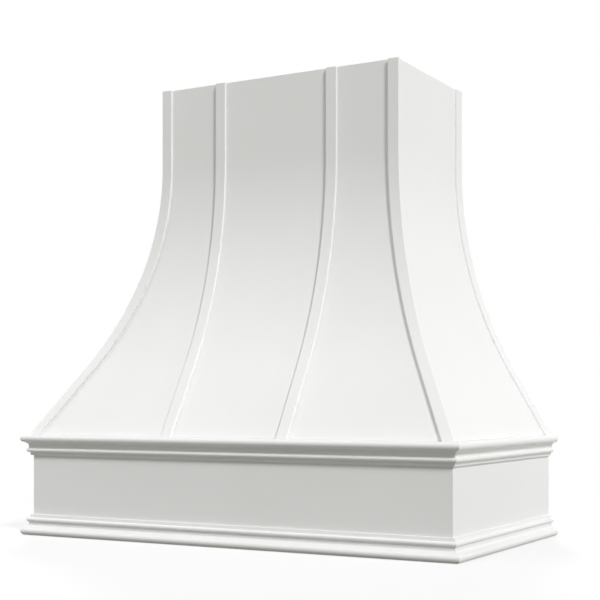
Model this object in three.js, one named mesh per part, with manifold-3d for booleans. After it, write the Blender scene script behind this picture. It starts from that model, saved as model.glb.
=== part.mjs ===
// Wooden range hood cover, 36 in wide: a curved chimney body on a boxed apron, open at the top for the
// duct and underneath for the ventilator. Millimetres, +Z up, the wall behind it at +Y. The origin is
// the middle of the footprint, at the bottom edge.
import * as THREE from "three";
import { mergeVertices } from "three/addons/utils/BufferGeometryUtils.js";
import Module from "manifold-3d";

const wasm = await Module();
wasm.setup();

// ---- Driving sizes ----

const totalHeight = 914.4;
const glueLine = 0.3; // between pieces that are glued or butted

// Apron: a mitred box on three sides
const apronWidth = 914.4;
const apronDepth = 497; // wall to front face
const apronHeight = 202;
const boardThickness = 19; // apron boards, rails, sills and ribs

// Flare of the body, the same on the front and both sides, so the hips run at 45 degrees
const flareRun = 191; // how far the foot stands out past the top
const straightDrop = 161; // plumb part at the top
const tailAngle = THREE.MathUtils.degToRad(30.5); // straight foot, from plumb
const skinThickness = 6.4;

// Straps over the skins
const strapWidth = 22.2;
const strapThickness = 6.35;
const innerStrapOffset = 127; // centre of the body to an inner strap
const wallStripWidth = 28.6;
const wallStripThickness = 4;

// Moulding on the apron, square edge to thin foot, and how far each member stands out
const noseHeight = 14;
const noseReach = 19;
const noseTip = 7.6; // edge to where the nose stands out most
const noseRound = 8; // depth of its rounding on the side of the edge
const noseUnder = 5.3; // and on the side of the cove
const coveHeight = 6.5;
const coveReach = 6.7;
const coveFlat = 6.2; // between the cove and the bead
const beadHeight = 8;
const beadReach = 10.1;
const footHeight = 6.5;
const footRoot = 4.9; // by the bead
const footReach = 3.9; // at its thin end

// Frame inside the body
const railHeight = 89;
const sillDepth = 57;
const ribDepth = 48;

// Floor of the apron, with the hole for the ventilator
const lowerRailHeight = 114;
const deckThickness = 12.7;
const deckRecess = 38; // bottom edge up to the deck
const cleatHeight = 32;
const insertWidth = 514;
const insertDepth = 267;
const cornerBlockLeg = 50;

// Wall fixing holes, on studs 16 in apart, and the screws that hold the deck
const studSpacing = 406.4;
const fixingHoleRadius = 2.75;
const screwLength = 38;
const screwRadius = 2;
const screwHeadRadius = 4.2;
const screwHeadDepth = 2.6;
const screwHeadEdge = 0.4;
const screwPoint = 6;
const screwClearance = 0.3;
const screwInset = 90; // end of a cleat to its screw

// Facets of the round parts
const arcSteps = 16; // along the flare
const profileSteps = 4; // to a member of the moulding
const holeSides = 16;
const screwSides = 12;

// ---- Sizes that follow ----

const bodyHeight = totalHeight - apronHeight - glueLine;
const topHalfWidth = apronWidth / 2 - flareRun; // skins at the top, outside
const topDepth = apronDepth - flareRun;
const mouldingHeight = noseHeight + coveHeight + coveFlat + beadHeight + footHeight;
const overallDepth = apronDepth + noseReach;
const skinInset = skinThickness + glueLine; // outside of the skins to what stands behind them
const ribFoot = boardThickness + glueLine;
const railFoot = bodyHeight - railHeight;
const innerHalfWidth = apronWidth / 2 - boardThickness - glueLine; // inside the apron
const innerFront = apronDepth - boardThickness - glueLine;
const innerBack = boardThickness + glueLine;
const deckTop = deckRecess + deckThickness;
const cleatFoot = deckTop + glueLine;
const cleatTop = cleatFoot + cleatHeight;
const screwFoot = deckRecess + glueLine; // heads just under flush in the deck

// ---- Finishes ----

const paint = () => new THREE.MeshStandardMaterial({ color: 0xf0f0ec, roughness: 0.42, metalness: 0 });
const poplar = () => new THREE.MeshStandardMaterial({ color: 0xcfb993, roughness: 0.7, metalness: 0 });
const plywood = () => new THREE.MeshStandardMaterial({ color: 0xd8bd8f, roughness: 0.75, metalness: 0 });
const steel = () => new THREE.MeshStandardMaterial({ color: 0xb9b6a6, roughness: 0.35, metalness: 1 });

// ---- Solids and joins ----

function toSolid(geometry) {
  const bare = geometry.clone();
  bare.deleteAttribute("normal");
  bare.deleteAttribute("uv");
  const merged = mergeVertices(bare, 1e-4);
  const vertProperties = new Float32Array(merged.attributes.position.array);
  const triVerts = new Uint32Array(merged.index.array);
  return new wasm.Manifold(new wasm.Mesh({ numProp: 3, vertProperties, triVerts }));
}

function toGeometry(solid) {
  const mesh = solid.getMesh();
  const geometry = new THREE.BufferGeometry();
  geometry.setAttribute("position", new THREE.BufferAttribute(mesh.vertProperties, 3));
  geometry.setIndex(new THREE.BufferAttribute(mesh.triVerts, 1));
  geometry.computeVertexNormals();
  return geometry;
}

const common = (...shapes) => toGeometry(shapes.map(toSolid).reduce((a, b) => a.intersect(b)));
const cut = (...shapes) => toGeometry(shapes.map(toSolid).reduce((a, b) => a.subtract(b)));

// The same piece for the other hand, with its faces still pointing out
function mirrored(geometry) {
  const copy = mergeVertices(geometry.clone().scale(-1, 1, 1));
  const index = copy.index.array;
  for (let i = 0; i < index.length; i += 3) [index[i], index[i + 1]] = [index[i + 1], index[i]];
  copy.computeVertexNormals();
  return copy;
}

// A box from its low and high corners
function block([x0, y0, z0], [x1, y1, z1]) {
  const box = new THREE.BoxGeometry(x1 - x0, y1 - y0, z1 - z0);
  return box.translate((x0 + x1) / 2, (y0 + y1) / 2, (z0 + z1) / 2);
}

const points = (pairs) => pairs.map(([x, y]) => new THREE.Vector2(x, y));
const extrude = (outline, depth) =>
  new THREE.ExtrudeGeometry(new THREE.Shape(points(outline)), { depth, bevelEnabled: false });
const axes = { x: new THREE.Vector3(1, 0, 0), y: new THREE.Vector3(0, 1, 0), z: new THREE.Vector3(0, 0, 1) };

// An outline in [y, z], as thick as `width` and centred across X
function acrossX(outline, width) {
  const turn = new THREE.Matrix4().makeBasis(axes.y, axes.z, axes.x);
  return extrude(outline, width).applyMatrix4(turn).translate(-width / 2, 0, 0);
}

// An outline in [x, z], running forward from the wall plane by `depth`
const offWall = new THREE.Matrix4().makeBasis(axes.x, axes.z, axes.y.clone().negate());
const fromWall = (outline, depth) => extrude(outline, depth).applyMatrix4(offWall);

// ---- The flare ----

// The curve in side view as [run, height] from the top down: plumb, an arc, then a straight tail that
// goes on a little below the ledge. `inset` moves the line square to itself, into the body.
function flareLine(inset) {
  const bendHeight = bodyHeight - straightDrop;
  const angle = Math.min(tailAngle, 2 * Math.atan(flareRun / bendHeight)); // at most all arc
  const radius = (bendHeight * Math.tan(angle) - flareRun) / (1 / Math.cos(angle) - 1);
  const line = [[-inset, bodyHeight]];
  for (let step = 0; step <= arcSteps; step++) {
    const a = (angle * step) / arcSteps;
    line.push([radius - (radius + inset) * Math.cos(a), bendHeight - (radius + inset) * Math.sin(a)]);
  }
  const [run, height] = line.at(-1);
  const below = height + boardThickness;
  line.push([run + below * Math.tan(angle), height - below]);
  return line;
}

const onFront = (run) => -(topDepth + run); // y of a front point
const onSide = (run) => topHalfWidth + run; // x of a point on the right side

// The curve or a closed band between two insets of it, on the front or on the right side
const flareOn = (place, inset) => flareLine(inset).map(([run, z]) => [place(run), z]);
const flareBand = (place, outer, inner) => [...flareOn(place, outer), ...flareOn(place, inner).reverse()];

// Everything between two heights, as wide and deep as the body is anywhere
function slab(low, high) {
  return block([-apronWidth, -2 * apronDepth, low], [apronWidth, 0, high]);
}

// What the skins enclose: the ribs, sills and rails are cut to it
function insideOfSkins() {
  const front = flareOn(onFront, skinInset);
  const side = flareOn(onSide, skinInset);
  const otherSide = side.map(([x, z]) => [-x, z]).reverse();
  const wall = [[0, front.at(-1)[1]], [0, bodyHeight]];
  const deep = acrossX([...front, ...wall], 2 * apronWidth);
  return common(deep, fromWall([...side, ...otherSide], 2 * apronDepth));
}

// In plan the skins meet on the hips, each pulled back by half a glue line. `near` and `far` are runs
// well inside and outside the flare.
const near = -2 * boardThickness;
const far = flareRun + 2 * boardThickness;
const pull = glueLine / Math.SQRT2;

function betweenHips() {
  const corners = [[near, 1], [far, 1], [far, -1], [near, -1]];
  return extrude(corners.map(([run, side]) => [side * (onSide(run) - pull), onFront(run)]), bodyHeight);
}

function besideHip() {
  const corners = [[near, 0], [near, onFront(near) + pull], [far, onFront(far) + pull], [far, 0]];
  return extrude(corners.map(([run, y]) => [onSide(run), y]), bodyHeight);
}

// ---- Skins and straps ----

function frontPanel() {
  return common(acrossX(flareBand(onFront, 0, skinThickness), 2 * apronWidth), betweenHips());
}

function sidePanel() {
  return common(fromWall(flareBand(onSide, 0, skinThickness), 2 * apronDepth), besideHip());
}

const strapBand = () => flareBand(onFront, -strapThickness, -glueLine);

function innerStrap() {
  return common(acrossX(strapBand(), strapWidth), slab(0, bodyHeight));
}

// A corner strap keeps its width across the front, and its outer edge follows the side skin and laps
// it by the thickness of the wall strip.
function cornerStrap() {
  const outer = flareOn(onSide, -wallStripThickness);
  const inner = outer.map(([x, z]) => [x - strapWidth, z]).reverse();
  const across = fromWall([...outer, ...inner], 2 * apronDepth);
  return common(acrossX(strapBand(), 2 * apronWidth), across, slab(0, bodyHeight));
}

function wallStrip() {
  const band = flareBand(onSide, -wallStripThickness, -glueLine);
  return common(fromWall(band, wallStripWidth), slab(0, bodyHeight));
}

// ---- Frame in the body ----

const ribBand = (place) => flareBand(place, skinInset, skinInset + ribDepth);
const betweenSillAndRail = () => slab(ribFoot, railFoot - glueLine);

function frontRib() {
  return common(acrossX(ribBand(onFront), boardThickness), betweenSillAndRail());
}

// For the side ribs, and for the stiles, which are the same shape flat on the wall
function sideRib() {
  return common(fromWall(ribBand(onSide), boardThickness), betweenSillAndRail());
}

// In the corner, turned to the hip, with both outer faces bevelled to the skins. It stands on the
// corner of the sills, and its back edge is as far in as the front ribs'.
function hipRib() {
  const along = (run) => run * Math.SQRT2;
  const rib = fromWall(flareBand(along, 0, skinInset + ribDepth), boardThickness);
  rib.translate(0, boardThickness / 2, 0).rotateZ(-Math.PI / 4).translate(topHalfWidth, -topDepth, 0);
  return common(rib, insideOfSkins(), betweenSillAndRail());
}

// ---- Mitred runs round the apron ----

// A section, x out from the face and y up, is run along one side of the apron. A mitred end goes past
// the corner by as much as the section stands out there.
function mitredRun(section, length, mitreStart, mitreEnd) {
  const geometry = new THREE.ExtrudeGeometry(section, { depth: length, bevelEnabled: false });
  const corner = geometry.attributes.position;
  for (let i = 0; i < corner.count; i++) {
    const past = corner.getX(i) - glueLine / Math.SQRT2;
    const atEnd = corner.getZ(i) > length / 2;
    if (atEnd && mitreEnd) corner.setZ(i, length + past);
    if (!atEnd && mitreStart) corner.setZ(i, -past);
  }
  return geometry.applyMatrix4(offWall);
}

// Right side from the wall forward, the front from right to left, the left side back to the wall
const half = apronWidth / 2;
const front = -apronDepth;
const runs = [
  { side: "right", turn: 0, x: half, y: 0, length: apronDepth, start: false, end: true },
  { side: "front", turn: -Math.PI / 2, x: half, y: front, length: apronWidth, start: true, end: true },
  { side: "left", turn: Math.PI, x: -half, y: front, length: apronDepth, start: true, end: false },
];

const board = [[-boardThickness, 0], [0, 0], [0, apronHeight], [-boardThickness, apronHeight]];
const boardSection = new THREE.Shape(points(board));

// Rounded nose, shallow cove, bead and a tapered foot. `up` is 1 with the nose at the bottom, as under
// the apron, and -1 with the nose at the top, as under the body.
function mouldingSection(up) {
  const out = glueLine; // back of the moulding, off the board
  const [edgeRoot, coveRoot] = [noseReach - noseRound, noseReach - noseUnder];
  const noseTurn = THREE.MathUtils.degToRad(75); // where the nose runs on into the cove
  const coveEnd = noseHeight + coveHeight;
  const coveBend = [coveReach + 0.3 * coveHeight, noseHeight + coveHeight / 4];
  const beadStart = coveEnd + coveFlat;
  const beadEnd = beadStart + beadHeight;
  const section = new THREE.Shape();
  section.moveTo(out, 0);
  section.lineTo(edgeRoot, 0);
  section.absellipse(edgeRoot, noseTip, noseRound, noseTip, -Math.PI / 2, 0);
  section.absellipse(coveRoot, noseTip, noseUnder, noseHeight - noseTip, 0, noseTurn);
  section.quadraticCurveTo(...coveBend, coveReach, coveEnd);
  section.lineTo(coveReach, beadStart);
  const [beadMiddle, beadRound] = [(beadStart + beadEnd) / 2, beadReach - coveReach];
  section.absellipse(coveReach, beadMiddle, beadRound, beadHeight / 2, -Math.PI / 2, Math.PI / 2);
  section.lineTo(footRoot, beadEnd);
  section.lineTo(footReach, mouldingHeight);
  section.lineTo(out, mouldingHeight);
  return new THREE.Shape(section.getPoints(profileSteps).map((p) => new THREE.Vector2(p.x, up * p.y)));
}

// ---- Boards with holes, blocks and screws ----

// A rail on the wall, with its two fixing holes
function wallRail(halfWidth, low, high) {
  const holes = [-1, 1].map((side) => {
    const long = 3 * boardThickness;
    const drill = new THREE.CylinderGeometry(fixingHoleRadius, fixingHoleRadius, long, holeSides);
    return drill.translate((side * studSpacing) / 2, 0, (low + high) / 2);
  });
  return cut(block([-halfWidth, -boardThickness, low], [halfWidth, 0, high]), ...holes);
}

// A countersunk screw, head down, or the hole it sits in: larger all round by `extra` and out through
// the face
function screwShape(extra = 0) {
  const [shank, head, tip] = [screwRadius + extra, screwHeadRadius + extra, screwLength + extra];
  const outline = [
    [0, -2 * extra],
    [head, -2 * extra],
    [head, screwHeadEdge],
    [shank, screwHeadDepth],
    [shank, tip - screwPoint],
    [0, tip],
  ];
  return new THREE.LatheGeometry(points(outline), screwSides).rotateX(Math.PI / 2);
}

// The deck is screwed up into cleats that run round inside the apron, on top of it
const cleatIn = boardThickness; // width of a cleat, off the board behind it
const sideCleatFront = -(innerFront - cleatIn - glueLine);
const sideCleatBack = -(innerBack + cleatIn + glueLine);
const cleatPlans = {
  front: [-innerHalfWidth, innerHalfWidth, -innerFront, -(innerFront - cleatIn)],
  back: [-innerHalfWidth, innerHalfWidth, -(innerBack + cleatIn), -innerBack],
  left: [-innerHalfWidth, -(innerHalfWidth - cleatIn), sideCleatFront, sideCleatBack],
  right: [innerHalfWidth - cleatIn, innerHalfWidth, sideCleatFront, sideCleatBack],
};

// Two screws to a cleat, along its middle
const screwPlaces = Object.values(cleatPlans).flatMap(([x0, x1, y0, y1]) => {
  const [x, y] = [(x0 + x1) / 2, (y0 + y1) / 2];
  const lengthwise = x1 - x0 > y1 - y0;
  const reach = Math.max(x1 - x0, y1 - y0) / 2 - screwInset;
  return [-reach, reach].map((along) => (lengthwise ? [x + along, y] : [x, y + along]));
});
const screwHoles = screwPlaces.map(([x, y]) => screwShape(screwClearance).translate(x, y, screwFoot));

function cleat([x0, x1, y0, y1]) {
  return cut(block([x0, y0, cleatFoot], [x1, y1, cleatTop]), ...screwHoles);
}

function deck() {
  const middle = -(innerFront + innerBack) / 2;
  const board = block([-innerHalfWidth, -innerFront, deckRecess], [innerHalfWidth, -innerBack, deckTop]);
  const opening = block(
    [-insertWidth / 2, middle - insertDepth / 2, 0],
    [insertWidth / 2, middle + insertDepth / 2, 2 * deckTop],
  );
  return cut(board, opening, ...screwHoles);
}

function cornerBlock() {
  const corners = [[0, 0], [0, cornerBlockLeg], [-cornerBlockLeg, 0]];
  return extrude(corners, apronHeight - cleatTop - 2 * glueLine);
}

// ---- Assembly ----

const hood = new THREE.Group();
hood.position.y = overallDepth / 2; // the wall plane is y = 0 inside
const apron = new THREE.Group();
const body = new THREE.Group();
body.position.z = apronHeight + glueLine;
hood.add(apron, body);

function add(parent, name, geometry, material, [x, y, z] = [0, 0, 0]) {
  const mesh = new THREE.Mesh(geometry, material());
  mesh.name = name;
  mesh.position.set(x, y, z);
  parent.add(mesh);
  return mesh;
}

function addPair(parent, name, geometry, material, [x, y, z] = [0, 0, 0]) {
  add(parent, name + "_right", geometry, material, [x, y, z]);
  add(parent, name + "_left", mirrored(geometry), material, [-x, y, z]);
}

for (const { side, turn, x, y, length, start, end } of runs) {
  const place = (name, section, z) => {
    add(apron, name + side, mitredRun(section, length, start, end), paint, [x, y, z]).rotation.z = turn;
  };
  place("apron_", boardSection, 0);
  place("bottom_moulding_", mouldingSection(1), 0);
  place("top_moulding_", mouldingSection(-1), apronHeight);
}

add(apron, "insert_deck", deck(), plywood);
for (const [side, plan] of Object.entries(cleatPlans)) {
  add(apron, "deck_cleat_" + side, cleat(plan), poplar);
}
screwPlaces.forEach(([x, y], i) => {
  add(apron, "deck_screw_" + (i + 1), screwShape(), steel, [x, y, screwFoot]);
});
add(apron, "lower_wall_rail", wallRail(innerHalfWidth, 0, lowerRailHeight), poplar);
addPair(apron, "corner_block", cornerBlock(), poplar, [innerHalfWidth, -innerFront, cleatTop + glueLine]);

add(body, "front_panel", frontPanel(), paint);
addPair(body, "side_panel", sidePanel(), paint);
addPair(body, "corner_strap", cornerStrap(), paint);
addPair(body, "inner_strap", innerStrap(), paint, [innerStrapOffset, 0, 0]);
addPair(body, "wall_strip", wallStrip(), paint);

const core = insideOfSkins();
const sillFront = apronDepth - skinInset - sillDepth;
const sillSide = apronWidth / 2 - skinInset - sillDepth;
const frontSill = block([-apronWidth, -apronDepth, 0], [apronWidth, -sillFront, boardThickness]);
const sideSill = block([sillSide, glueLine - sillFront, 0], [apronWidth, -innerBack, boardThickness]);
add(body, "front_sill", common(frontSill, core), poplar);
addPair(body, "side_sill", common(sideSill, core), poplar);
add(body, "middle_wall_rail", common(wallRail(apronWidth, 0, railHeight), core), poplar);

const frontIn = topDepth - skinInset; // behind the front skin at the top
const sideIn = topHalfWidth - skinInset;
const frontRailBack = boardThickness - frontIn;
const frontRail = block([-sideIn, -frontIn, railFoot], [sideIn, frontRailBack, bodyHeight]);
const sideRailStart = [sideIn - boardThickness, frontRailBack + glueLine, railFoot];
add(body, "top_front_rail", frontRail, poplar);
addPair(body, "top_side_rail", block(sideRailStart, [sideIn, -innerBack, bodyHeight]), poplar);
add(body, "top_wall_rail", wallRail(sideIn, railFoot, bodyHeight), poplar);

addPair(body, "front_rib", frontRib(), plywood, [innerStrapOffset, 0, 0]);
addPair(body, "hip_rib", hipRib(), plywood);
addPair(body, "side_rib", sideRib(), plywood, [0, -topDepth / 2, 0]);
addPair(body, "wall_stile", common(sideRib(), slab(railHeight + glueLine, bodyHeight)), plywood);

export default hood;
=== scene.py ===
import math

import bpy
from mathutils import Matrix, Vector


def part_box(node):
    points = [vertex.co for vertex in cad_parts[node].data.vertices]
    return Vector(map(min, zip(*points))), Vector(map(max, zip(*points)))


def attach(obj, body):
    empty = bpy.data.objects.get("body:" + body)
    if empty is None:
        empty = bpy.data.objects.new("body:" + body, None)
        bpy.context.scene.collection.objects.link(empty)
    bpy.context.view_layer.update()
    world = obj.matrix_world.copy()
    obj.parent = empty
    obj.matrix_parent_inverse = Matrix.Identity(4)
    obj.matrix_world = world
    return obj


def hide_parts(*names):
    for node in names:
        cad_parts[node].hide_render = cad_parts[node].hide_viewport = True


frontward = Vector((0, -1, 0))
rightward = Vector((1, 0, 0))
upward = Vector((0, 0, 1))

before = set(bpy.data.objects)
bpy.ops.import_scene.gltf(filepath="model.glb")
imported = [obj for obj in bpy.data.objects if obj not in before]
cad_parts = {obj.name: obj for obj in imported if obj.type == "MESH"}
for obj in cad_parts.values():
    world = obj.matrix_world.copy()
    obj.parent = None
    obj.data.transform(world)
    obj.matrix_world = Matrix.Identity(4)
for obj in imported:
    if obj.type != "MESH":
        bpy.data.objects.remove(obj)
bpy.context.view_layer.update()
print("frame loaded:", len(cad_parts), "nodes")


# The camera stands to the right, level, a little over the ledge. The lens shift brings the top of the
# body back into the picture.
view = {
    "place": (1.2753, -2.2049, 0.2700),
    "turn": 29.5,  # degrees to the right of straight on
    "lens": 75.9,  # mm, on a frame 36 mm wide
    "frameWidth": 36,
    "shiftUp": 0.1686,
}


def setCamera():
    bpy.ops.object.camera_add(location=view["place"], rotation=(math.pi / 2, 0, math.radians(view["turn"])))
    camera = bpy.context.object
    camera.data.lens = view["lens"]
    camera.data.sensor_width = view["frameWidth"]
    camera.data.shift_y = view["shiftUp"]
    bpy.context.scene.camera = camera


setCamera()
print("camera set")


# What every piece is modelled with

weld = 1e-6  # points closer than this become one


def startPoint(name, at):  # a new piece in edit mode, still one point
    bpy.ops.object.select_all(action="DESELECT")
    bpy.ops.mesh.primitive_plane_add(size=0.001)
    piece = bpy.context.object
    piece.name = piece.data.name = name
    bpy.ops.object.mode_set(mode="EDIT")
    bpy.ops.mesh.merge(type="CENTER")
    bpy.ops.transform.translate(value=at)
    return piece


def startBox(name, low, high):  # a new piece in edit mode, selected all over
    bpy.ops.object.select_all(action="DESELECT")
    bpy.ops.mesh.primitive_cube_add(size=1)
    piece = bpy.context.object
    piece.name = piece.data.name = name
    bpy.ops.object.mode_set(mode="EDIT")
    bpy.ops.transform.resize(value=high - low)
    bpy.ops.transform.translate(value=(low + high) / 2)
    return piece


def startFace(name, points):  # a new piece in edit mode, a flat face with this outline
    piece = startPoint(name, points[0])
    dragThrough(points + points[:1])
    bpy.ops.mesh.select_all(action="SELECT")
    bpy.ops.mesh.remove_doubles(threshold=weld)
    bpy.ops.mesh.edge_face_add()
    return piece


def drag(step):  # extrudes what is selected
    bpy.ops.mesh.extrude_region_move(TRANSFORM_OT_translate={"value": step})


def dragThrough(points):
    for here, there in zip(points, points[1:]):
        drag(there - here)


def saw(place, normal, keepInner=True):  # saws off one side of a plane
    bpy.ops.mesh.select_all(action="SELECT")
    bpy.ops.mesh.bisect(
        plane_co=place, plane_no=normal, use_fill=True, clear_outer=keepInner, clear_inner=not keepInner
    )


def tidyFaces():
    bpy.ops.mesh.select_all(action="SELECT")
    bpy.ops.mesh.remove_doubles(threshold=weld)
    bpy.ops.mesh.normals_make_consistent(inside=False)


def finishWith(piece, kind, **settings):
    modifier = piece.modifiers.new(kind.lower(), kind)
    for name, value in settings.items():
        setattr(modifier, name, value)
    bpy.ops.object.modifier_apply(modifier=modifier.name)


def ease(piece, width, segments=3, sharpness=25):  # rounds the arrises
    bpy.ops.object.mode_set(mode="OBJECT")
    finishWith(piece, "BEVEL", width=width, segments=segments, limit_method="ANGLE",
               angle_limit=math.radians(sharpness), miter_outer="MITER_ARC")


def smooth(piece, degrees=40):  # arrises are shaded round, and what is flat stays flat up to them
    bpy.ops.object.mode_set(mode="OBJECT")
    if piece.data.has_custom_normals:
        bpy.ops.mesh.customdata_custom_splitnormals_clear()
    bpy.ops.object.shade_smooth_by_angle(angle=math.radians(degrees))
    finishWith(piece, "WEIGHTED_NORMAL", mode="FACE_AREA", weight=50, keep_sharp=True)


def pick(piece):
    bpy.ops.object.select_all(action="DESELECT")
    piece.select_set(True)
    bpy.context.view_layer.objects.active = piece


def startCopy(piece, name):  # a copy in edit mode, with its own mesh and selected all over
    pick(piece)
    bpy.ops.object.duplicate()
    copy = bpy.context.object
    copy.name = copy.data.name = name
    bpy.ops.object.mode_set(mode="EDIT")
    bpy.ops.mesh.select_all(action="SELECT")
    return copy


def otherHand(piece, name, degrees=40):  # a copy mirrored to the left side
    copy = startCopy(piece, name)
    bpy.ops.transform.mirror(constraint_axis=(True, False, False), center_override=(0, 0, 0))
    bpy.ops.mesh.normals_make_consistent(inside=False)
    smooth(copy, degrees)
    return copy


backFacing = -0.3  # faces whose normal goes outward by less than this are on the back


# Gives the finished piece its look, hangs it on the root body and hides the part it stands in for. Its back
# has the bare look, if there is one.
def handIn(piece, node, look, bare=None, outward=None):
    piece.data.materials.clear()
    piece.data.materials.append(look)
    if bare:
        piece.data.materials.append(bare)
        for face in piece.data.polygons:
            face.material_index = int(face.normal.dot(outward) < backFacing)
    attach(piece, "root")
    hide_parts(node)


# Materials, each with its values above it

class Wire:  # a value from a node, which takes part in sums
    def __init__(self, look, socket):
        self.look = look
        self.socket = socket

    def maths(self, operation, *values):
        return self.look.node("ShaderNodeMath", {"operation": operation}, dict(enumerate(values)))

    def __add__(self, other):
        return self.maths("ADD", self, other)

    def __sub__(self, other):
        return self.maths("SUBTRACT", self, other)

    def __rsub__(self, other):
        return self.maths("SUBTRACT", other, self)

    def __mul__(self, other):
        return self.maths("MULTIPLY", self, other)

    def __truediv__(self, other):
        return self.maths("DIVIDE", self, other)

    def __pow__(self, other):
        return self.maths("POWER", self, other)

    __radd__ = __add__
    __rmul__ = __mul__


class Look:  # a material round one Principled shader
    def __init__(self, name, **fixed):
        self.material = bpy.data.materials.new(name)
        self.material.use_nodes = True
        self.tree = self.material.node_tree
        self.shader = self.tree.nodes["Principled BSDF"]
        for socket, value in fixed.items():
            self.shader.inputs[socket.replace("_", " ")].default_value = value

    def connect(self, socket, value):
        if isinstance(value, Wire):
            self.tree.links.new(value.socket, socket)
        else:
            socket.default_value = value

    def node(self, kind, settings, values, out=0):
        node = self.tree.nodes.new(kind)
        for name, value in settings.items():
            setattr(node, name, value)
        for socket, value in values.items():
            self.connect(node.inputs[socket], value)
        return Wire(self, node.outputs[out])

    def place(self, turn=(0, 0, 0)):
        here = self.node("ShaderNodeTexCoord", {}, {}, "Object")
        return self.stretch(here, turn=turn)

    def stretch(self, place, scale=(1, 1, 1), offset=(0, 0, 0), turn=(0, 0, 0)):
        values = {"Vector": place, "Location": offset, "Rotation": turn, "Scale": scale}
        return self.node("ShaderNodeMapping", {}, values)

    def along(self, vector, direction):  # how far a point lies in a direction
        settings = {"operation": "DOT_PRODUCT"}
        return self.node("ShaderNodeVectorMath", settings, {0: vector, 1: direction}, "Value")

    def noise(self, place, scale, detail=2.0, roughness=0.5, distortion=0.0):
        values = {"Vector": place, "Scale": scale, "Detail": detail, "Roughness": roughness,
                  "Distortion": distortion}
        return self.node("ShaderNodeTexNoise", {}, values, "Fac")

    def spread(self, value, low, high, outLow=0.0, outHigh=1.0):
        values = {"Value": value, "From Min": low, "From Max": high, "To Min": outLow, "To Max": outHigh}
        return self.node("ShaderNodeMapRange", {}, values)

    def mix(self, share, first, second):
        return self.node("ShaderNodeMix", {"data_type": "RGBA"}, {0: share, 6: first, 7: second}, 2)

    def bump(self, height, depth, below=None):
        values = {"Height": height, "Distance": depth}
        if below:
            values["Normal"] = below
        return self.node("ShaderNodeBump", {}, values, "Normal")

    def finish(self, **varying):
        for socket, value in varying.items():
            self.connect(self.shader.inputs[socket.replace("_", " ")], value)
        return self.material


def tone(red, green, blue):  # from screen values, 0 to 255, to a colour
    linear = [((v / 255 + 0.055) / 1.055) ** 2.4 for v in (red, green, blue)]
    return (*linear, 1)


paint = {
    "color": tone(234, 234, 234),
    "thin": tone(231, 231, 230),  # where the coat is thinner
    "cloudsPerMetre": 2.6,  # of thin coat
    "roughness": 0.4,
    "roughnessSpread": 0.05,
    "patchesPerMetre": 45,  # of rougher paint
    "peel": 0.0011,  # size of the orange peel
    "peelDepth": 0.000012,
    "swell": 0.06,  # size of the slow waves under the paint
    "swellDepth": 0.00008,
}


def paintLook():
    look = Look("satin_white_paint", IOR=1.5)
    here = look.place()
    slow = look.noise(here, 1 / paint["swell"], 3.0)
    peel = look.noise(here, 1 / paint["peel"], 1.5, 0.4)
    cloud = look.noise(here, paint["cloudsPerMetre"], 4.0, 0.6)
    color = look.mix(look.spread(cloud, 0.35, 0.7), paint["color"], paint["thin"])
    patch = look.noise(here, paint["patchesPerMetre"], 3.0)
    roughness = paint["roughness"] + (patch - 0.5) * (2 * paint["roughnessSpread"])
    surface = look.bump(peel, paint["peelDepth"], look.bump(slow, paint["swellDepth"]))
    return look.finish(Base_Color=color, Roughness=roughness, Normal=surface)


poplar = {
    "pale": tone(214, 194, 156),
    "band": tone(186, 163, 120),
    "heart": tone(160, 152, 112),  # greenish streaks
    "grain": (0.06, 1, 1),  # the figure is drawn out along x
    "pith": (0, 0.05, -0.09),  # for the first board
    "pithSteps": (0.37, 0.013, -0.011),  # from one board to the next
    "ring": 0.0042,  # from one growth ring to the next
    "ringWander": 2.2,
    "ringShare": 0.55,
    "streaksPerMetre": 14,
    "heartShare": 0.75,
    "fibre": 0.0007,
    "fibreShare": 0.16,
    "fibreDepth": 0.00005,
    "roughness": 0.62,
    "roughnessSpread": 0.16,
}
waveLength = math.pi / 10  # from one wave to the next where a wave's scale is 1
quarterTurn = math.pi / 2
alongGrain = {"x": (0, 0, 0), "y": (0, 0, quarterTurn), "z": (0, quarterTurn, 0)}


# Solid timber: rings round a pith outside the board, stretched along it, so that the ends show arcs
# and the faces show lines. `number` moves the pith, so that no two boards are alike. Sideways it goes
# back after a few boards and stays near.
def poplarLook(name, along, number):
    look = Look("poplar_" + name, IOR=1.45)
    turned = look.place(turn=alongGrain[along])
    steps = zip(poplar["pith"], poplar["pithSteps"], (number, number % 5, number % 7))
    pith = [first + step * count for first, step, count in steps]
    stretched = look.stretch(turned, poplar["grain"], pith)
    rings = look.node(
        "ShaderNodeTexWave",
        {"wave_type": "RINGS", "rings_direction": "X", "wave_profile": "SAW"},
        {"Vector": stretched, "Scale": waveLength / poplar["ring"], "Distortion": poplar["ringWander"],
         "Detail": 2.0, "Detail Scale": 0.35},
        "Fac",
    )
    streaks = look.noise(stretched, poplar["streaksPerMetre"], 3.0, 0.55, 0.3)
    fibre = look.noise(stretched, 1 / poplar["fibre"], 2.0)
    wood = look.mix(rings ** 2 * poplar["ringShare"], poplar["pale"], poplar["band"])
    wood = look.mix(look.spread(streaks, 0.52, 0.72, 0, poplar["heartShare"]), wood, poplar["heart"])
    wood = look.mix(look.spread(fibre, 0.35, 0.65, 0, poplar["fibreShare"]), wood, poplar["band"])
    roughness = poplar["roughness"] + fibre * poplar["roughnessSpread"]
    return look.finish(Base_Color=wood, Roughness=roughness, Normal=look.bump(fibre, poplar["fibreDepth"]))


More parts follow.
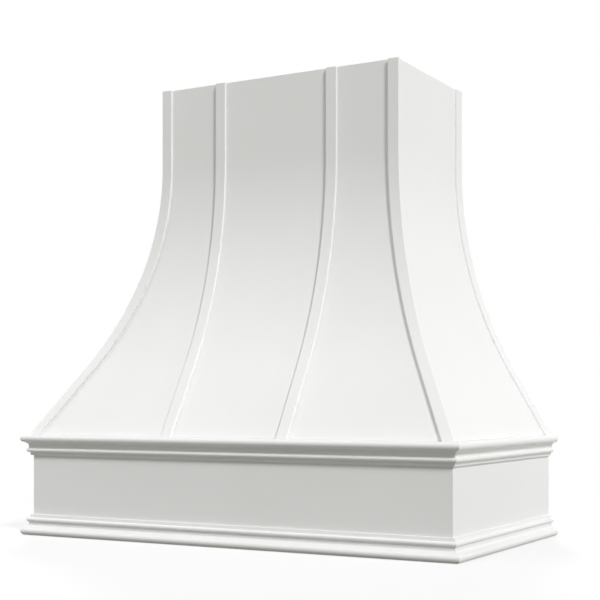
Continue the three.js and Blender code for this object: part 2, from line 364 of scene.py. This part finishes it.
birch = {
    "pale": tone(226, 203, 162),
    "figure": tone(203, 172, 126),
    "edgeDark": tone(166, 128, 84),  # plies seen end on
    "edgePale": tone(222, 197, 154),
    "glue": tone(96, 68, 44),
    "grain": (0.12, 1, 0.5),  # the figure is drawn out along x
    "figuresPerMetre": 9,
    "figureShare": 0.5,
    "lineWander": 9,
    "lineShare": 0.4,
    "ply": 0.0014,
    "glueShare": 0.8,
    "poresPerMetre": 900,  # on the edges
    "poreShare": 0.35,
    "fibre": 0.0006,
    "fibreShare": 0.22,
    "fibreDepth": 0.00004,
    "roughness": 0.6,
    "roughnessSpread": 0.15,
}


def veneer(look, turned):  # rotary cut, with its figure along x
    long = look.stretch(turned, birch["grain"])
    figure = look.noise(long, birch["figuresPerMetre"], 3.0, 0.5, 1.4)
    lines = look.node(
        "ShaderNodeTexWave",
        {"wave_type": "BANDS", "bands_direction": "Y"},
        {"Vector": long, "Scale": birch["figuresPerMetre"], "Distortion": birch["lineWander"],
         "Detail": 2.5, "Detail Scale": 0.8},
        "Fac",
    )
    fibre = look.noise(long, 1 / birch["fibre"], 2.0)
    strength = look.spread(figure, 0.35, 0.7, 0, birch["figureShare"])
    color = look.mix(strength, birch["pale"], birch["figure"])
    color = look.mix(lines ** 3 * birch["lineShare"], color, birch["figure"])
    return look.mix(look.spread(fibre, 0.4, 0.7, 0, birch["fibreShare"]), color, birch["figure"]), fibre


def finishBirch(look, color, fibre):
    roughness = birch["roughness"] + fibre * birch["roughnessSpread"]
    return look.finish(Base_Color=color, Roughness=roughness, Normal=look.bump(fibre, birch["fibreDepth"]))


# Plywood, with plies on its edges. The figure of the face runs `along` the sheet, which is thin
# `across`; `middle` is a point in its core.
def birchLook(name, middle, along, across):
    look = Look("birch_plywood_" + name, IOR=1.45)
    here = look.node("ShaderNodeTexCoord", {}, {}, "Object")
    centred = look.node("ShaderNodeVectorMath", {"operation": "SUBTRACT"}, {0: here, 1: middle})
    depth = look.along(centred, across)
    parts = {"X": look.along(centred, along), "Y": look.along(centred, along.cross(across)), "Z": depth}
    turned = look.node("ShaderNodeCombineXYZ", {}, parts)
    facing = look.along(look.node("ShaderNodeTexCoord", {}, {}, "Normal"), across)
    flat = look.spread(facing.maths("ABSOLUTE", facing), 0.6, 0.8)
    face, fibre = veneer(look, turned)
    pairs = depth / (2 * birch["ply"]) + 100.25  # plies in pairs, never below 0, a pale one in the core
    dark = look.spread(pairs.maths("FRACT", pairs), 0.48, 0.52)
    seam = pairs.maths("PINGPONG", pairs * 2, 0.5)
    edge = look.mix(dark, birch["edgePale"], birch["edgeDark"])
    edge = look.mix(look.spread(seam, 0.1, 0.02, 0, birch["glueShare"]), edge, birch["glue"])
    pores = look.noise(turned, birch["poresPerMetre"], 2.0)
    edge = look.mix(look.spread(pores, 0.4, 0.7, 0, birch["poreShare"]), edge, birch["edgeDark"])
    return finishBirch(look, look.mix(flat, edge, face), fibre)


def liningLook(name, along):  # the bare back of a skin of bending plywood, with level grain
    look = Look("bending_plywood_" + name, IOR=1.45)
    return finishBirch(look, *veneer(look, look.place(turn=alongGrain[along])))


zinc = {
    "color": tone(206, 204, 190),
    "yellow": tone(205, 188, 132),
    "cloudsPerMetre": 240,
    "roughness": 0.3,
    "roughnessSpread": 0.15,
    "patchesPerMetre": 1500,
}


def zincLook():
    look = Look("zinc_plate", Metallic=1.0)
    here = look.place()
    cloud = look.noise(here, zinc["cloudsPerMetre"], 3.0)
    color = look.mix(look.spread(cloud, 0.4, 0.65), zinc["color"], zinc["yellow"])
    patch = look.noise(here, zinc["patchesPerMetre"], 2.0)
    return look.finish(Base_Color=color, Roughness=zinc["roughness"] + patch * zinc["roughnessSpread"])


white = paintLook()
steel = zincLook()
print("materials made")


# Lines that the pieces share, taken from the frame

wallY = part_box("apron_left")[1].y
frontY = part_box("apron_front")[0].y
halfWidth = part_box("apron_right")[1].x
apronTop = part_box("apron_front")[1].z
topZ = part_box("front_panel")[1].z
corner = Vector((halfWidth, frontY, 0))
acrossHip = Vector((1, 1, 0)).normalized()

skin = {"thickness": 0.0064, "easing": 0.0004}
flare = {
    "drop": 0.161,  # plumb part at the top
    "tail": 30.5,  # degrees from plumb at the foot
    "steps": 48,
    "extra": 0.03,  # drawn past what is sawn off
}
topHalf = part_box("side_panel_right")[0].x + skin["thickness"]
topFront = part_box("front_panel")[1].y - skin["thickness"]
run = halfWidth - topHalf
bendZ = topZ - flare["drop"]
tailAngle = math.radians(flare["tail"])
arcRadius = ((bendZ - apronTop) * math.tan(tailAngle) - run) / (1 / math.cos(tailAngle) - 1)


def flareRunAt(z, proud):  # how far out the curve is at a height, on a line `proud` of the skin
    radius = arcRadius - proud
    below = bendZ - z
    arcDrop = radius * math.sin(tailAngle)
    if below <= 0:
        return proud
    if below < arcDrop:
        return arcRadius - math.sqrt(radius ** 2 - below ** 2)
    return arcRadius - radius * math.cos(tailAngle) + (below - arcDrop) * math.tan(tailAngle)


# Draws the curve from the top down, `proud` of the skin, on the side of the body that `outward` faces
def drawFlare(name, top, outward, proud):
    piece = startPoint(name, top + outward * proud)
    drag(-upward * flare["drop"])
    center = top + outward * arcRadius - upward * flare["drop"]
    bpy.ops.mesh.spin(steps=flare["steps"], angle=tailAngle, center=center, axis=upward.cross(outward))
    foot = bendZ - (arcRadius - proud) * math.sin(tailAngle)
    down = foot - apronTop + flare["extra"]
    drag(outward * down * math.tan(tailAngle) - upward * down)
    return piece


def widen(step):
    bpy.ops.mesh.select_all(action="SELECT")
    drag(step)


def thicken(piece, thickness, outward):  # a sheet into a board, away from its outer face
    bpy.ops.mesh.select_all(action="SELECT")
    bpy.ops.object.mode_set(mode="OBJECT")
    face = piece.data.polygons[0]
    inward = -1 if face.normal.dot(outward) > 0 else 1
    finishWith(piece, "SOLIDIFY", thickness=thickness, offset=inward, use_even_offset=True)
    bpy.ops.object.mode_set(mode="EDIT")
    tidyFaces()


def trimFoot():
    saw((0, 0, apronTop), -upward)


def cutFrontMitres():  # on the hips, in a front run that was drawn past the corners
    saw(corner, acrossHip)
    saw((-halfWidth, frontY, 0), (-1, 1, 0))


def makeSkins():
    far = halfWidth + flare["extra"]
    piece = drawFlare("painted_front_panel", Vector((-far, topFront, topZ)), frontward, 0)
    widen(rightward * 2 * far)
    thicken(piece, skin["thickness"], frontward)
    trimFoot()
    ease(piece, skin["easing"])
    bpy.ops.object.mode_set(mode="EDIT")
    cutFrontMitres()
    smooth(piece)
    handIn(piece, "front_panel", white, liningLook("front", "x"), frontward)

    piece = drawFlare("painted_side_panel_right", Vector((topHalf, wallY, topZ)), rightward, 0)
    widen(frontward * (wallY - frontY + flare["extra"]))
    thicken(piece, skin["thickness"], rightward)
    trimFoot()
    ease(piece, skin["easing"])
    bpy.ops.object.mode_set(mode="EDIT")
    saw(corner, acrossHip, keepInner=False)
    smooth(piece)
    lining = liningLook("sides", "y")
    handIn(piece, "side_panel_right", white, lining, rightward)
    copy = otherHand(piece, "painted_side_panel_left")
    handIn(copy, "side_panel_left", white, lining, -rightward)


makeSkins()
print("skins made")


low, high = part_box("inner_strap_right")
strap = {
    "width": high.x - low.x,
    "thickness": 0.00635,
    "easing": 0.0006,
    "innerX": (low.x + high.x) / 2,  # the middle of the right inner strap
}
low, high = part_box("wall_strip_right")
wallStrip = {"width": high.y - low.y, "thickness": 0.004, "easing": 0.0006}


def straightStrap(name, x):
    piece = drawFlare(name, Vector((x, topFront, topZ)), frontward, strap["thickness"])
    widen(rightward * strap["width"])
    thicken(piece, strap["thickness"], frontward)
    trimFoot()
    ease(piece, strap["easing"])
    return piece


def makeStraps():
    piece = straightStrap("painted_inner_strap_right", strap["innerX"] - strap["width"] / 2)
    smooth(piece)
    handIn(piece, "inner_strap_right", white)
    handIn(otherHand(piece, "painted_inner_strap_left"), "inner_strap_left", white)

    # A corner strap is a straight one whose points follow the side flare out at their own height
    piece = straightStrap("painted_corner_strap_right", topHalf - strap["width"])
    for vertex in piece.data.vertices:
        vertex.co.x += flareRunAt(vertex.co.z, wallStrip["thickness"])
    smooth(piece)
    handIn(piece, "corner_strap_right", white)
    handIn(otherHand(piece, "painted_corner_strap_left"), "corner_strap_left", white)

    piece = drawFlare("painted_wall_strip_right", Vector((topHalf, wallY, topZ)), rightward,
                      wallStrip["thickness"])
    widen(frontward * wallStrip["width"])
    thicken(piece, wallStrip["thickness"], rightward)
    trimFoot()
    ease(piece, wallStrip["easing"])
    smooth(piece)
    handIn(piece, "wall_strip_right", white)
    handIn(otherHand(piece, "painted_wall_strip_left"), "wall_strip_left", white)


makeStraps()
print("straps made")


apron = {"board": 0.019, "easing": 0.001}


def makeBoards():
    low = Vector((-halfWidth, frontY, 0))
    high = Vector((halfWidth, frontY + apron["board"], apronTop))
    piece = startBox("painted_apron_front", low, high)
    ease(piece, apron["easing"])
    bpy.ops.object.mode_set(mode="EDIT")
    cutFrontMitres()
    smooth(piece)
    handIn(piece, "apron_front", white, poplarLook("apron_front", "x", 31), frontward)

    low = Vector((halfWidth - apron["board"], frontY, 0))
    high = Vector((halfWidth, wallY, apronTop))
    piece = startBox("painted_apron_right", low, high)
    ease(piece, apron["easing"])
    bpy.ops.object.mode_set(mode="EDIT")
    saw(corner, acrossHip, keepInner=False)
    smooth(piece)
    bare = poplarLook("apron_sides", "y", 32)
    handIn(piece, "apron_right", white, bare, rightward)
    handIn(otherHand(piece, "painted_apron_left"), "apron_left", white, bare, -rightward)


makeBoards()
print("apron boards made")


# The nose stands out most at `tip` from the edge. It is rounded by `round` on that side, and on the other
# by `under` through `turn` degrees. The cove bends towards a point at `hollow`, in shares of its height.
moulding = {
    "nose": {"height": 0.014, "reach": 0.019, "tip": 0.0076, "round": 0.008, "under": 0.0053, "turn": 75},
    "cove": {"height": 0.0065, "reach": 0.0067, "flat": 0.0062, "hollow": (0.3, 0.25)},
    "bead": {"height": 0.008, "reach": 0.0101},
    "foot": {"height": 0.0065, "root": 0.0049, "reach": 0.0039},
    "steps": 10,  # to a quarter turn
    "easing": 0.0003,
    "easingFrom": 40,  # degrees between two faces
    "smoothTo": 35,
    "extra": 0.06,  # drawn past what is sawn off
}


def arcPoints(center, reach, height, start, end):  # part of an ellipse, as (out, up)
    count = round(moulding["steps"] * abs(end - start) / 90)
    angles = [math.radians(start + (end - start) * step / count) for step in range(count + 1)]
    return [(center[0] + reach * math.cos(a), center[1] + height * math.sin(a)) for a in angles]


def curveTo(start, bend, end):  # it leaves `start` and reaches `end` along lines through `bend`
    shares = [step / moulding["steps"] for step in range(1, moulding["steps"] + 1)]
    return [
        tuple((1 - t) ** 2 * a + 2 * t * (1 - t) * b + t ** 2 * c for a, b, c in zip(start, bend, end))
        for t in shares
    ]


# Nose, cove, bead and foot from the outer edge in, as (out from the board, up from the edge)
def mouldingLine():
    nose, cove, bead, foot = (moulding[member] for member in ("nose", "cove", "bead", "foot"))
    line = [(0, 0)]
    line += arcPoints((nose["reach"] - nose["round"], nose["tip"]), nose["round"], nose["tip"], -90, 0)
    under = (nose["reach"] - nose["under"], nose["tip"])
    line += arcPoints(under, nose["under"], nose["height"] - nose["tip"], 0, nose["turn"])[1:]
    coveTop = nose["height"] + cove["height"]
    out, up = cove["hollow"]
    bend = (cove["reach"] + out * cove["height"], nose["height"] + up * cove["height"])
    line += curveTo(line[-1], bend, (cove["reach"], coveTop))
    beadFoot = coveTop + cove["flat"]
    beadMiddle = beadFoot + bead["height"] / 2
    beadReach = bead["reach"] - cove["reach"]
    line += arcPoints((cove["reach"], beadMiddle), beadReach, bead["height"] / 2, -90, 90)
    beadTop = beadFoot + bead["height"]
    top = beadTop + foot["height"]
    return line + [(foot["root"], beadTop), (foot["reach"], top), (0, top)]


def drawMoulding(name, start, outward, baseZ, rise):  # its section at one end of a run
    line = mouldingLine()
    return startFace(name, [start + outward * out + upward * (baseZ + rise * up) for out, up in line])


def easeMoulding(piece):
    tidyFaces()
    ease(piece, moulding["easing"], 2, moulding["easingFrom"])
    bpy.ops.object.mode_set(mode="EDIT")


def makeMouldings():
    for place, baseZ, rise in (("bottom", 0, 1), ("top", apronTop, -1)):
        far = halfWidth + moulding["extra"]
        name = place + "_moulding_front"
        piece = drawMoulding("painted_" + name, Vector((-far, frontY, 0)), frontward, baseZ, rise)
        drag(rightward * 2 * far)
        easeMoulding(piece)
        cutFrontMitres()
        smooth(piece, moulding["smoothTo"])
        handIn(piece, name, white)

        name = place + "_moulding_right"
        piece = drawMoulding("painted_" + name, Vector((halfWidth, wallY, 0)), rightward, baseZ, rise)
        drag(frontward * (wallY - frontY + moulding["extra"]))
        easeMoulding(piece)
        saw(corner, acrossHip, keepInner=False)
        smooth(piece, moulding["smoothTo"])
        handIn(piece, name, white)
        copy = otherHand(piece, "painted_" + place + "_moulding_left", moulding["smoothTo"])
        handIn(copy, place + "_moulding_left", white)


makeMouldings()
print("mouldings made")


# Bare timber and plywood inside

timber = {
    "easing": 0.0006,
    "segments": 3,
    "flatTo": 0.5,  # degrees between two triangles that are joined
}
deckScrews = sorted(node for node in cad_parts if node.startswith("deck_screw_"))
longSides = 0.4  # the screws no further out than this are in a long side of the deck


def middleOf(node):
    low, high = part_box(node)
    return (low + high) / 2


# A copy of the piece in the frame, with its loose triangles joined and its arrises sanded. Its faces are
# split at the planes in `splits`, given as (place, normal), so that no face goes round many holes.
def sandedCopy(name, node, splits=()):
    bpy.ops.object.select_all(action="DESELECT")
    piece = bpy.data.objects.new(name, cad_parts[node].data.copy())
    bpy.context.scene.collection.objects.link(piece)
    bpy.context.view_layer.objects.active = piece
    piece.select_set(True)
    bpy.ops.object.mode_set(mode="EDIT")
    bpy.ops.mesh.select_all(action="SELECT")
    bpy.ops.mesh.remove_doubles(threshold=weld)
    bpy.ops.mesh.dissolve_limited(angle_limit=math.radians(timber["flatTo"]))
    for place, normal in splits:
        bpy.ops.mesh.select_all(action="SELECT")
        bpy.ops.mesh.bisect(plane_co=place, plane_no=normal)
    ease(piece, timber["easing"], timber["segments"])
    smooth(piece)
    return piece


boards = {  # which way the grain runs
    "top_front_rail": "x", "top_wall_rail": "x", "middle_wall_rail": "x", "lower_wall_rail": "x",
    "front_sill": "x", "deck_cleat_front": "x", "deck_cleat_back": "x",
    "top_side_rail_left": "y", "top_side_rail_right": "y", "side_sill_left": "y", "side_sill_right": "y",
    "deck_cleat_left": "y", "deck_cleat_right": "y",
    "corner_block_left": "z", "corner_block_right": "z",
}
sheets = {  # which way the face grain runs, and across the thickness
    "insert_deck": (rightward, upward),
    "front_rib_left": (upward, rightward), "front_rib_right": (upward, rightward),
    "side_rib_left": (upward, frontward), "side_rib_right": (upward, frontward),
    "wall_stile_left": (upward, frontward), "wall_stile_right": (upward, frontward),
    "hip_rib_left": (upward, Vector((-1, 1, 0)).normalized()), "hip_rib_right": (upward, acrossHip),
}


def deckSplits():  # through every screw, across the side of the deck that it is in
    places = [middleOf(node) for node in deckScrews]
    return [(place, rightward if abs(place.x) < longSides else frontward) for place in places]


def makeTimber():
    for number, (node, along) in enumerate(boards.items()):
        piece = sandedCopy("planed_" + node, node)
        handIn(piece, node, poplarLook(node, along, number))
    for node, (along, across) in sheets.items():
        piece = sandedCopy("sawn_" + node, node, deckSplits() if node == "insert_deck" else ())
        handIn(piece, node, birchLook(node, middleOf(node), along, across))


makeTimber()
print("frame timber and plywood made")


screw = {
    "length": 0.038,
    "head": {"radius": 0.0042, "edge": 0.0004, "depth": 0.0026},
    "shank": 0.0018,
    "core": 0.0013,
    "crest": 0.0020,
    "threadFrom": 0.012,
    "pitch": 0.0019,
    "grooveTo": 0.45,  # share of the pitch
    "crestAt": 0.7,
    "point": 0.006,
    "recess": {"across": 0.0046, "foot": 0.0016, "wide": 0.0009, "deep": 0.0021},
    "steps": 24,
    "turn": 53,  # degrees from one screw's recess to the next one's
    "smoothTo": 30,
}


# From the middle of the head along the outside to the point, as (out, up). The thread is drawn as
# rings, which grow smaller over the point.
def screwLine():
    head, tip = screw["head"], screw["length"]
    line = [(0, 0), (head["radius"], 0), (head["radius"], head["edge"]), (screw["shank"], head["depth"]),
            (screw["shank"], screw["threadFrom"] - screw["pitch"] / 2)]
    count = int((tip - screw["threadFrom"]) / screw["pitch"])
    for ring in range(count):
        for radius, share in ((screw["core"], 0), (screw["core"], screw["grooveTo"]),
                              (screw["crest"], screw["crestAt"])):
            z = screw["threadFrom"] + (ring + share) * screw["pitch"]
            line.append((radius * min(1, (tip - z) / screw["point"]), z))
    return line + [(0, tip)]


def cutRecess(piece):  # a cross in the head, made by two slots that narrow inwards
    recess = screw["recess"]
    for along, sideways in ((rightward, frontward), (frontward, rightward)):
        wide, narrow, deep = recess["across"] / 2, recess["foot"] / 2, recess["deep"]
        outline = [(-wide, 0), (-narrow, deep), (narrow, deep), (wide, 0), (wide, -deep), (-wide, -deep)]
        side = -sideways * recess["wide"] / 2
        cutter = startFace("recess", [side + along * out + upward * up for out, up in outline])
        drag(sideways * recess["wide"])
        tidyFaces()
        bpy.ops.object.mode_set(mode="OBJECT")
        pick(piece)
        finishWith(piece, "BOOLEAN", operation="DIFFERENCE", object=cutter, solver="EXACT")
        pick(cutter)
        bpy.ops.object.delete()
    pick(piece)


def makeScrews():
    line = [rightward * out + upward * up for out, up in screwLine()]
    first = startPoint("first_screw", line[0])
    dragThrough(line)
    bpy.ops.mesh.select_all(action="SELECT")
    bpy.ops.mesh.spin(steps=screw["steps"], angle=2 * math.pi, center=(0, 0, 0), axis=upward)
    tidyFaces()
    bpy.ops.object.mode_set(mode="OBJECT")
    cutRecess(first)
    smooth(first, screw["smoothTo"])
    for number, node in enumerate(deckScrews):
        piece = startCopy(first, "plated_" + node)
        turn = math.radians(screw["turn"] * number)
        bpy.ops.transform.rotate(value=turn, orient_axis="Z", center_override=(0, 0, 0))
        foot = middleOf(node)
        bpy.ops.transform.translate(value=(foot.x, foot.y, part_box(node)[0].z))
        bpy.ops.object.mode_set(mode="OBJECT")
        handIn(piece, node, steel)
    pick(first)
    bpy.ops.object.delete()


makeScrews()
print("screws made")


# Floor, backdrop and light

room = {
    "floorSize": 30,
    "under": 0.0003,  # the floor lies this much below the hood, so that no two faces meet
    "floorColor": tone(133, 133, 125),  # as the hood sees it
    "floorShown": tone(236, 236, 236),  # as the camera sees it, about white under these lamps
    "shadowReach": (0.8, 1.8),  # from the middle of the floor: the shadow shows within, and fades out
    "shadowShare": 0.35,
    "ambient": 0.18,
}
# Degrees round to the right and up from straight on, and across for the softness of the shadows
lamps = {
    "key": {"round": 59, "up": 40, "across": 12, "strength": 2.35},
    "fill": {"round": -48, "up": 45, "across": 50, "strength": 0.92},
    "top": {"round": 0, "up": 88, "across": 60, "strength": 0.3},
    "side": {"round": 95, "up": 5, "across": 40, "strength": 1.0},
    "back": {"round": -150, "up": 30, "across": 16, "strength": 1.9},
}


def seen(look):  # 1 for what the camera sees, directly or in gloss or glass
    kinds = ("Is Camera Ray", "Is Glossy Ray", "Is Transmission Ray")
    camera, glossy, through = (look.node("ShaderNodeLightPath", {}, {}, kind) for kind in kinds)
    total = camera + glossy + through
    return total.maths("MINIMUM", total, 1.0)


# It lights the hood as a grey floor does, and is seen as a white one that keeps part of the shadow
def makeFloor():
    bpy.ops.object.select_all(action="DESELECT")
    bpy.ops.mesh.primitive_plane_add(size=room["floorSize"], location=(0, 0, -room["under"]))
    floor = bpy.context.object
    floor.name = "floor"
    look = Look("pale_floor", Roughness=1.0)
    direct = seen(look)
    look.finish(Base_Color=look.mix(direct, room["floorColor"], room["floorShown"]))
    here = look.node("ShaderNodeTexCoord", {}, {}, "Object")
    away = look.node("ShaderNodeVectorMath", {"operation": "LENGTH"}, {0: here}, "Value")
    plain = look.spread(away, *room["shadowReach"], 1 - room["shadowShare"], 1)
    glow = look.node("ShaderNodeEmission", {}, {"Color": (1, 1, 1, 1), "Strength": 1.0})
    lit = Wire(look, look.shader.outputs[0])
    shown = look.node("ShaderNodeMixShader", {}, {0: direct * plain, 1: lit, 2: glow})
    look.connect(look.tree.nodes["Material Output"].inputs["Surface"], shown)
    floor.data.materials.append(look.material)


def makeLamps():
    for name, lamp in lamps.items():
        tilt = math.radians(90 - lamp["up"])
        bpy.ops.object.light_add(type="SUN", rotation=(tilt, 0, math.radians(lamp["round"])))
        light = bpy.context.object
        light.name = name
        light.data.angle = math.radians(lamp["across"])
        light.data.energy = lamp["strength"]


class Sky(Look):  # the same helpers, on the world
    def __init__(self, name):
        self.world = bpy.data.worlds.new(name)
        self.world.use_nodes = True
        self.tree = self.world.node_tree


def makeWorld():
    look = Sky("studio")
    bpy.context.scene.world = look.world
    dim = look.node("ShaderNodeBackground", {}, {"Strength": room["ambient"]})
    plain = look.node("ShaderNodeBackground", {}, {"Color": (1, 1, 1, 1), "Strength": 1.0})
    shown = look.node("ShaderNodeMixShader", {}, {0: seen(look), 1: dim, 2: plain})
    look.connect(look.tree.nodes["World Output"].inputs["Surface"], shown)


makeFloor()
makeLamps()
makeWorld()
bpy.context.scene.view_settings.view_transform = "Standard"
print("stage set")
